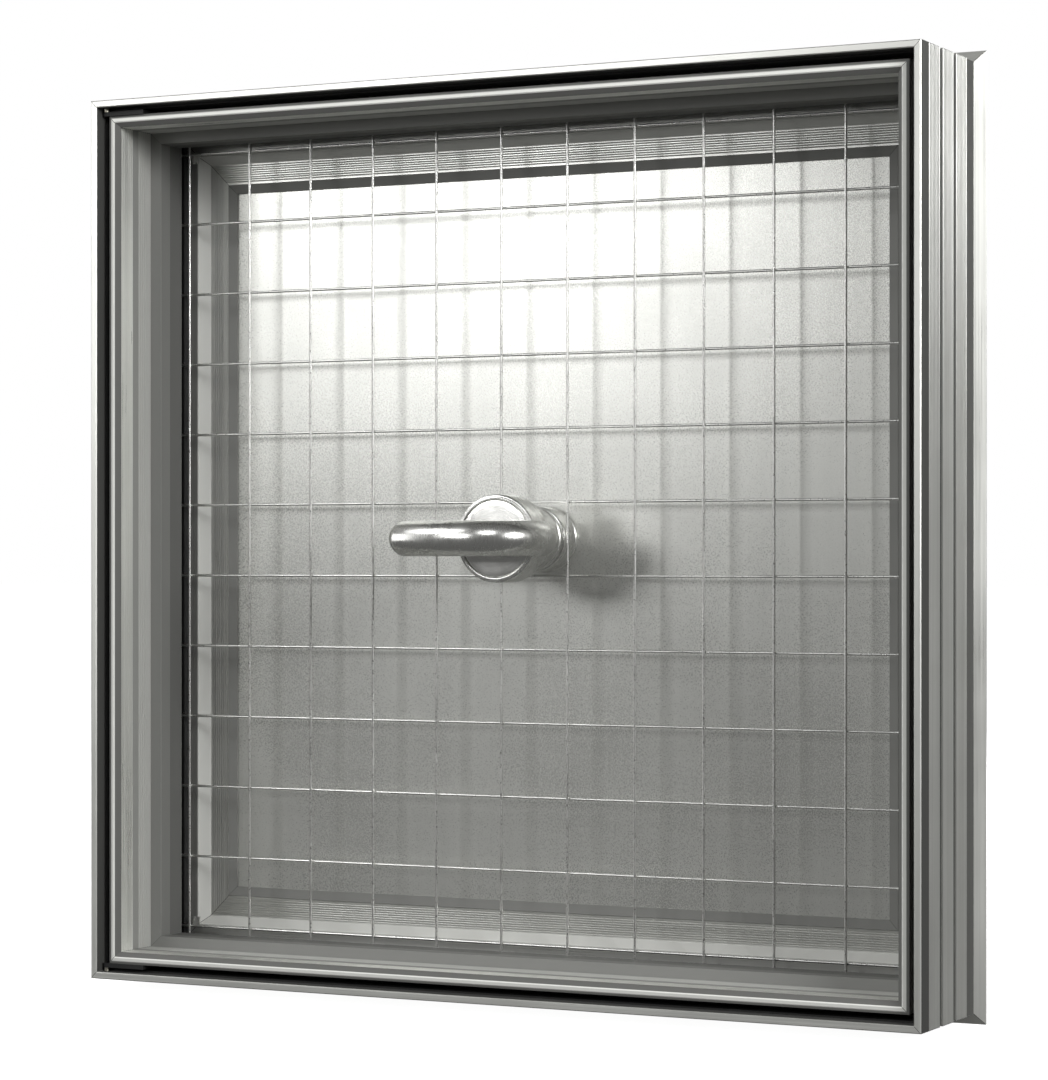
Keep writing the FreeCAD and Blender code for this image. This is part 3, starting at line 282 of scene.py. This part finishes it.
def extruded(name, colour, roughness, painted_depth_bands=(), inner=()):
    """Anodised extrusion: fine drawn lines along the member, faint blotches, dark mitres.
    The bands by depth give the depths, and inner the distances from the middle, in millimetres,
    between which a band is matt, with its tone: (first, last, tone). The tone is painted into the
    colour: painted shade below 1, painted light above 1."""
    finish = Finish(name, metallic=EXTRUDED_METALLIC)
    ring = finish.ring()
    lines = finish.noise(finish.stretch(ring, (7, 1500, 1500)), detail=3, roughness=0.65)
    broad = finish.noise(finish.stretch(ring, (3, 260, 260)), detail=1)
    cloud = finish.noise(finish.place, scale=14, detail=3, roughness=0.6)
    speck = finish.noise(finish.place, scale=2600, detail=1)
    tone = finish.math("ADD", finish.math("MULTIPLY", lines, 0.5),
                       finish.math("MULTIPLY", broad, 0.5))
    body = finish.blend(finish.spread(tone, 0.3, 0.7), shade(colour, 1 - STREAK),
                        shade(colour, 1 + STREAK))
    body = finish.blend(finish.spread(cloud, 0.35, 0.75, 0.0, 0.25), body, shade(colour, 0.8))
    rough = finish.math("ADD", finish.spread(lines, 0.3, 0.7, -0.06, 0.06),
                        finish.spread(cloud, 0.3, 0.7, roughness - 0.04, roughness + 0.05))
    y = finish.split(finish.place)[1]
    half = finish.split(ring)[1]
    matt = 0.0
    bands = [(y, FRONT, band) for band in painted_depth_bands] + [(half, 0, band) for band in inner]
    for value, zero, (first, last, tone) in bands:
        start = finish.spread(value, zero + (first - BAND_EDGE) * MM,
                              zero + (first + BAND_EDGE) * MM)
        end = finish.spread(value, zero + (last + BAND_EDGE) * MM,
                            zero + (last - BAND_EDGE) * MM)
        band = finish.math("MULTIPLY", start, end)
        # painted shade or painted light: the band's colour is the metal's colour scaled by its
        # tone
        body = finish.blend(finish.math("MULTIPLY", band, BAND_COVER), body,
                            shade(colour, tone * BAND_TONE))
        rough = finish.math("ADD", rough, finish.math("MULTIPLY", band, BAND_ROUGHER))
        matt = finish.math("ADD", matt, band)
    if bands:
        finish.feed(finish.surface.inputs["Metallic"],
                    finish.spread(matt, 0, 1, EXTRUDED_METALLIC, 0.0))
        finish.feed(finish.surface.inputs["Specular IOR Level"],
                    finish.spread(matt, 0, 1, 0.5, BAND_SPECULAR))
    joint = finish.spread(finish.mitre, MITRE_LINE, MITRE_END)
    finish.colour(finish.blend(joint, shade(colour, 0.25), body))
    finish.rough(rough)
    height = finish.math("ADD", finish.math("MULTIPLY", lines, 0.7),
                         finish.math("MULTIPLY", speck, 0.3))
    height = finish.math("MULTIPLY", height, finish.spread(finish.mitre, 0.0, MITRE_END))
    finish.bump(height, 0.2, 0.06 * MM)
    return finish.material


def sheet_metal(name, colour, roughness):
    """Matt sheet: fine even grain, a few faint upright streaks and soft patches."""
    finish = Finish(name, metallic=0.62)
    fine = finish.noise(finish.place, scale=1700, detail=3, roughness=0.7)
    streak = finish.noise(finish.stretch(finish.place, (420, 420, 9)), detail=2)
    cloud = finish.noise(finish.place, scale=9, detail=3, roughness=0.55)
    body = finish.blend(finish.spread(fine, 0.3, 0.7), shade(colour, 0.92), shade(colour, 1.06))
    body = finish.blend(finish.spread(streak, 0.35, 0.75, 0.0, 0.18), body, shade(colour, 0.85))
    finish.colour(finish.blend(finish.spread(cloud, 0.35, 0.8, 0.0, 0.16), body,
                               shade(colour, 0.86)))
    finish.rough(finish.math("ADD", finish.spread(fine, 0.3, 0.7, -0.05, 0.05),
                             finish.spread(cloud, 0.3, 0.7, roughness - 0.03, roughness + 0.03)))
    finish.bump(fine, 0.12, 0.08 * MM)
    return finish.material


def wire_metal(name, colour, roughness):
    """Drawn wire: fine marks round it and small changes of tone along it."""
    finish = Finish(name)
    marks = finish.noise(finish.place, scale=900, detail=2)
    tone = finish.noise(finish.place, scale=40, detail=2)
    finish.colour(finish.blend(finish.spread(tone, 0.3, 0.7), shade(colour, 0.85),
                               shade(colour, 1.12)))
    finish.rough(finish.spread(marks, 0.3, 0.7, roughness - 0.07, roughness + 0.08))
    finish.bump(marks, 0.08, 0.02 * MM)
    return finish.material


def turned_metal(name, colour, roughness):
    """Satin steel finished on a lathe: fine rings about the crank axis, faint smudges."""
    finish = Finish(name, metallic=0.95)
    around = finish.around()
    rings = finish.noise(finish.stretch(around, (2600, 1.5, 2600)), detail=2, roughness=0.6)
    smudge = finish.noise(finish.place, scale=60, detail=4, roughness=0.65)
    body = finish.blend(finish.spread(rings, 0.3, 0.7), shade(colour, 0.93), shade(colour, 1.05))
    finish.colour(finish.blend(finish.spread(smudge, 0.45, 0.8, 0.0, 0.2), body,
                               shade(colour, 0.82)))
    finish.rough(finish.math("ADD", finish.spread(rings, 0.3, 0.7, -0.03, 0.03),
                             finish.spread(smudge, 0.3, 0.75, roughness - 0.04,
                                           roughness + 0.08)))
    finish.bump(rings, 0.25, 0.02 * MM)
    return finish.material


def cast_metal(name, colour, roughness):
    """Die cast or pressed steel: pebbled skin, darker blotches."""
    finish = Finish(name)
    pebble = finish.noise(finish.place, scale=700, detail=3)
    cloud = finish.noise(finish.place, scale=50, detail=3)
    finish.colour(finish.blend(finish.spread(cloud, 0.3, 0.7), shade(colour, 0.8),
                               shade(colour, 1.1)))
    finish.rough(finish.spread(pebble, 0.3, 0.7, roughness - 0.08, roughness + 0.1))
    finish.bump(pebble, 0.5, 0.1 * MM)
    return finish.material


def zinc_metal(name):
    """Passivated zinc: pale, with a faint yellow and blue spangle."""
    finish = Finish(name)
    spangle = finish.noise(finish.place, scale=220, detail=2)
    marks = finish.noise(finish.place, scale=1500, detail=2)
    finish.colour(finish.blend(finish.spread(spangle, 0.35, 0.65), (0.60, 0.61, 0.64),
                               (0.70, 0.67, 0.56)))
    finish.rough(finish.spread(marks, 0.3, 0.7, 0.28, 0.42))
    finish.bump(marks, 0.3, 0.05 * MM)
    return finish.material


# ---------------------------------------------------------------- rubber, plastic and foam

def soft_black(name, colour=(0.012, 0.012, 0.012), roughness=0.72):
    """Black rubber or paint: fine pores, dusty where the noise is high."""
    finish = Finish(name, metallic=0.0)
    pores = finish.noise(finish.place, scale=1900, detail=2)
    dust = finish.noise(finish.place, scale=45, detail=4, roughness=0.65)
    finish.colour(finish.blend(finish.spread(dust, 0.5, 0.85, 0.0, 0.5), colour,
                               shade(colour, 3.5)))
    finish.rough(finish.spread(pores, 0.3, 0.7, roughness - 0.08, roughness + 0.08))
    finish.bump(pores, 0.4, 0.06 * MM)
    return finish.material


def plastic(name, colour):
    finish = Finish(name, metallic=0.0)
    skin = finish.noise(finish.place, scale=1200, detail=2)
    tone = finish.noise(finish.place, scale=80, detail=2)
    finish.colour(finish.blend(finish.spread(tone, 0.3, 0.7), shade(colour, 0.92),
                               shade(colour, 1.05)))
    finish.rough(finish.spread(skin, 0.3, 0.7, 0.38, 0.5))
    finish.bump(skin, 0.25, 0.04 * MM)
    return finish.material


def foam(name):
    finish = Finish(name, metallic=0.0)
    cells = finish.tree.nodes.new("ShaderNodeTexVoronoi")
    finish.feed(cells.inputs["Vector"], finish.place)
    cells.inputs["Scale"].default_value = 1100
    tone = finish.noise(finish.place, scale=120, detail=3)
    finish.colour(finish.blend(finish.spread(tone, 0.3, 0.7), (0.55, 0.47, 0.30),
                               (0.74, 0.66, 0.46)))
    finish.rough(finish.spread(tone, 0.3, 0.7, 0.85, 0.95))
    finish.bump(cells.outputs["Distance"], 0.7, 0.3 * MM)
    return finish.material


def make_finishes():
    return {
        "frame_profile": extruded("frame_profile", shade(ALUMINIUM, 1.3), 0.38,
                                  painted_depth_bands=FRAME_BANDS),
        "rear_profile": extruded("rear_profile", shade(ALUMINIUM, 1.35), 0.34,
                                 painted_depth_bands=REAR_BANDS),
        "sash_profile": extruded("sash_profile", shade(ALUMINIUM, 1.35), 0.34,
                                 painted_depth_bands=SASH_BANDS),
        "bead_profile": extruded("bead_profile", shade(ALUMINIUM, 0.95), 0.32, inner=BEAD_BANDS),
        "edge_channel": extruded("edge_channel", ALUMINIUM, 0.40),
        "panel_sheet": sheet_metal("panel_sheet", (0.62, 0.625, 0.595), 0.29),
        "mesh_wire": wire_metal("mesh_wire", (0.74, 0.74, 0.72), 0.32),
        "handle_steel": turned_metal("handle_steel", shade(STEEL, 1.2), 0.26),
        "cap_steel": turned_metal("cap_steel", shade(STEEL, 1.4), 0.18),
        "zinc_steel": zinc_metal("zinc_steel"),
        "black_steel": soft_black("black_steel", (0.010, 0.010, 0.010), 0.62),
        "black_rubber": soft_black("black_rubber"),
        "bush_plastic": plastic("bush_plastic", (0.75, 0.74, 0.70)),
        "foam_core": foam("foam_core"),
        "cast_case": cast_metal("cast_case", (0.38, 0.38, 0.37), 0.5),
        "cast_cleat": cast_metal("cast_cleat", (0.55, 0.55, 0.53), 0.48),
    }


def dress_nodes(finishes):
    """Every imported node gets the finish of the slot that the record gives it."""
    for part in frame["record"]["subparts"]:
        thing = frame["nodes"][part["node"]]
        if not thing.data.materials:
            thing.data.materials.append(None)
        for slot in thing.material_slots:
            slot.link = "OBJECT"
            slot.material = finishes[part["material_slot"]]


# ---------------------------------------------------------------- crank pieces

def depth(millimetres):
    """Y of a plane this far behind the front of the frame."""
    return FRONT + millimetres * MM


SHARP_ANGLE = math.radians(35)


def add_piece(name, shape, finish, body):
    """Turn a bmesh into a smooth piece that rides on a body."""
    bmesh.ops.recalc_face_normals(shape, faces=shape.faces)
    for face in shape.faces:
        face.smooth = True
    data = bpy.data.meshes.new(name)
    shape.to_mesh(data)
    shape.free()
    data.set_sharp_from_angle(angle=SHARP_ANGLE)
    data.materials.append(finish)
    thing = bpy.data.objects.new(name, data)
    scene.collection.objects.link(thing)
    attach(thing, body)
    return thing


def rounded(outline, steps=5):
    """Replace each (depth, radius, softness) corner by an arc of that softness."""
    points = []
    count = len(outline)
    for index, (x, y, soft) in enumerate(outline):
        corner = Vector((x, y))
        if not soft:
            points.append(corner)
            continue
        before = Vector(outline[index - 1][:2]) - corner
        after = Vector(outline[(index + 1) % count][:2]) - corner
        start = corner + before.normalized() * soft
        end = corner + after.normalized() * soft
        for step in range(steps + 1):
            t = step / steps
            points.append(start * (1 - t) ** 2 + corner * 2 * t * (1 - t) + end * t ** 2)
    return points


def lathe(outline, sides=160):
    """Turn a closed (depth, radius, softness) outline, in millimetres, about the crank axis."""
    shape = bmesh.new()
    rings = []
    for point in rounded(outline):
        radius = point.y * MM
        if radius < 1e-6:
            rings.append([shape.verts.new((0, depth(point.x), 0))])
            continue
        ring = []
        for side in range(sides):
            angle = 2 * math.pi * side / sides
            ring.append(shape.verts.new((radius * math.cos(angle), depth(point.x),
                                         radius * math.sin(angle))))
        rings.append(ring)
    for ring, following in zip(rings, rings[1:] + rings[:1]):
        if len(ring) == 1 and len(following) == 1:
            continue
        for side in range(sides):
            corners = []
            for verts, index in ((ring, side), (ring, side + 1), (following, side + 1),
                                 (following, side)):
                vert = verts[index % sides] if len(verts) > 1 else verts[0]
                if vert not in corners:
                    corners.append(vert)
            shape.faces.new(corners)
    return shape


def make_hub(finish):
    """Disc with a raised rim and a recess, neck with a relief groove, pilot in the bush."""
    front = 18.0
    back = 36.0
    disc = 24.0
    recess = 21.3
    floor = 20.2
    neck = 17.5
    neck_end = 65.3
    pilot = 7.8
    pilot_end = 80.0
    bore = 5.0
    outline = [(floor, 0, 0), (floor, recess, 0.1), (front, recess, 0.5), (front, 22.4, 0.2),
               (front + 0.5, 22.7, 0.2), (front + 0.5, 23.3, 0.3), (front + 1.2, disc, 0.6),
               (back, disc, 1.4), (back, neck, 0.8), (neck_end - 4.2, neck, 0.3),
               (neck_end - 3.6, neck - 0.7, 0.3), (neck_end - 2.9, neck - 0.7, 0.3),
               (neck_end - 2.3, neck, 0.3), (neck_end, neck, 0.9), (neck_end, pilot, 0.1),
               (pilot_end, pilot, 0.3), (pilot_end, bore, 0), (30.0, bore, 0), (30.0, 0, 0)]
    hub = add_piece("hub_turned", lathe(outline), finish, "crank")
    grub_depth = 55.0
    grub_hole = 5.1
    drill(hub, [((0, grub_depth, -12.0), (0, 0, 1), grub_hole, 18.0)])
    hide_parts("crank_hub")


def make_cap(finish):
    """Polished cap with a broken edge and a very shallow dome."""
    front = 18.0
    floor = 20.2
    radius = 21.2
    dome = 0.25
    steps = 8
    outline = []
    for step in range(steps):
        reach = (radius - 0.7) * step / steps
        outline.append((front + dome * (reach / radius) ** 2, reach, 0))
    outline += [(front + dome, radius - 0.7, 0.1), (front + dome + 0.5, radius, 0.2),
                (floor, radius, 0), (floor, 0, 0)]
    cap = add_piece("cap_turned", lathe(outline), finish, "crank")
    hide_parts("hub_cap")


def make_rosette(finish):
    """Rosette with a rounded shoulder, a fine shadow groove and a foot."""
    low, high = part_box("rosette")
    outside = high.x / MM
    front = (low.y - FRONT) / MM
    back = (high.y - FRONT) / MM
    bore = 9.55
    outline = [(front, bore, 0.2), (front, outside - 3.2, 0.4), (front + 0.6, outside - 2.2, 0.4),
               (front + 0.9, outside, 1.4), (back - 2.4, outside, 0.2),
               (back - 2.0, outside - 0.5, 0.2), (back - 1.4, outside - 0.5, 0.2),
               (back - 1.0, outside, 0.2), (back, outside, 0.3), (back, bore, 0)]
    rosette = add_piece("rosette_turned", lathe(outline), finish, "sash")
    hole = 4.1
    length = 11.5
    spacing = 14.0
    middle = back + 1 - length / 2
    drill(rosette, [((0, middle, side * spacing), (0, 1, 0), hole, length) for side in (-1, 1)])
    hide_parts("rosette")


def drill(thing, holes):
    """Round holes, each with its middle, axis, diameter and length in millimetres; the middle
    is (x, depth, z)."""
    tool = bmesh.new()
    for (x, deep, z), axis, width, length in holes:
        made = bmesh.ops.create_cone(tool, cap_ends=True, segments=32, radius1=width * MM / 2,
                                     radius2=width * MM / 2, depth=length * MM)
        turn = Vector((0, 0, 1)).rotation_difference(Vector(axis)).to_matrix().to_4x4()
        place = Matrix.Translation((x * MM, depth(deep), z * MM))
        bmesh.ops.transform(tool, matrix=place @ turn, verts=made["verts"])
    data = bpy.data.meshes.new("drill")
    tool.to_mesh(data)
    tool.free()
    cutter = bpy.data.objects.new("drill", data)
    scene.collection.objects.link(cutter)
    modifier = thing.modifiers.new("holes", "BOOLEAN")
    modifier.operation = "DIFFERENCE"
    modifier.solver = "EXACT"
    modifier.object = cutter
    bpy.context.view_layer.update()
    seen = thing.evaluated_get(bpy.context.evaluated_depsgraph_get())
    thing.data = bpy.data.meshes.new_from_object(seen)
    thing.modifiers.clear()
    thing.data.set_sharp_from_angle(angle=SHARP_ANGLE)
    bpy.data.objects.remove(cutter)


def bar_route():
    """Centre line of the bent bar and its heading, from inside the neck to its tip."""
    lean = math.radians(53.13)
    stub = 15.0
    place = Vector((8.0 * MM, depth(50.0), 0))
    heading = Vector((math.cos(lean), -math.sin(lean), 0))
    route = []
    for step in range(7):
        route.append((place + heading * (stub * MM * step / 6), heading.copy()))
    place = route[-1][0]
    for radius, turn, steps in ((25.6 * MM, 180 - 53.13, 48), (110.0 * MM, 24.0, 24)):
        inward = Matrix.Rotation(-math.pi / 2, 3, "Z") @ heading
        centre = place + inward * radius
        for step in range(1, steps + 1):
            spin = Matrix.Rotation(-math.radians(turn) * step / steps, 3, "Z")
            route.append((centre - spin @ inward * radius, spin @ heading))
        place, heading = route[-1]
    return route


def make_bar(finish):
    """The bent round bar, swept along its route, with a rounded end and a flat root."""
    radius = 9.65 * MM
    sides = 64
    end_steps = 14
    route = [(place, heading, radius) for place, heading in bar_route()]
    tip, heading, _ = route[-1]
    for step in range(1, end_steps + 1):
        angle = math.pi / 2 * step / end_steps
        route.append((tip + heading * radius * math.sin(angle), heading,
                      radius * math.cos(angle)))
    shape = bmesh.new()
    rings = []
    for place, heading, reach in route:
        across = heading.cross(Vector((0, 0, 1))).normalized()
        if reach < 1e-6:
            rings.append([shape.verts.new(place)])
            continue
        ring = []
        for side in range(sides):
            angle = 2 * math.pi * side / sides
            offset = across * math.cos(angle) + Vector((0, 0, 1)) * math.sin(angle)
            ring.append(shape.verts.new(place + offset * reach))
        rings.append(ring)
    for ring, following in zip(rings, rings[1:]):
        for side in range(sides):
            corners = [ring[side], ring[(side + 1) % sides]]
            if len(following) > 1:
                corners += [following[(side + 1) % sides], following[side]]
            else:
                corners.append(following[0])
            shape.faces.new(corners)
    shape.faces.new(rings[0])
    bar = add_piece("bar_swept", shape, finish, "crank")
    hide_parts("crank_bar")


# ---------------------------------------------------------------- floor

FLOOR_GLOW = 0.93


def make_floor():
    """A pale floor just under the lowest flange."""
    data = bpy.data.meshes.new("floor")
    reach = 30
    corners = [(-reach, -reach), (reach, -reach), (reach, reach), (-reach, reach)]
    data.from_pydata([(x, y, cad_low.z - 0.2 * MM) for x, y in corners], [], [(0, 1, 2, 3)])
    floor = bpy.data.objects.new("floor", data)
    scene.collection.objects.link(floor)
    finish = Finish("floor", metallic=0.0, Emission_Strength=FLOOR_GLOW)
    finish.surface.inputs["Emission Color"].default_value = (1, 1, 1, 1)
    tone = finish.noise(finish.place, scale=3, detail=2)
    finish.colour(finish.blend(finish.spread(tone, 0.3, 0.7), (0.88, 0.88, 0.875),
                               (0.92, 0.92, 0.915)))
    finish.rough(finish.spread(tone, 0.3, 0.7, 0.75, 0.85))
    data.materials.append(finish.material)
    floor.visible_diffuse = False
    floor.visible_glossy = False


scene.view_settings.view_transform = "Standard"
make_camera()
make_lights()
make_world()
make_floor()
finishes = make_finishes()
dress_nodes(finishes)
make_hub(finishes["handle_steel"])
make_cap(finishes["cap_steel"])
make_bar(finishes["handle_steel"])
make_rosette(finishes["handle_steel"])
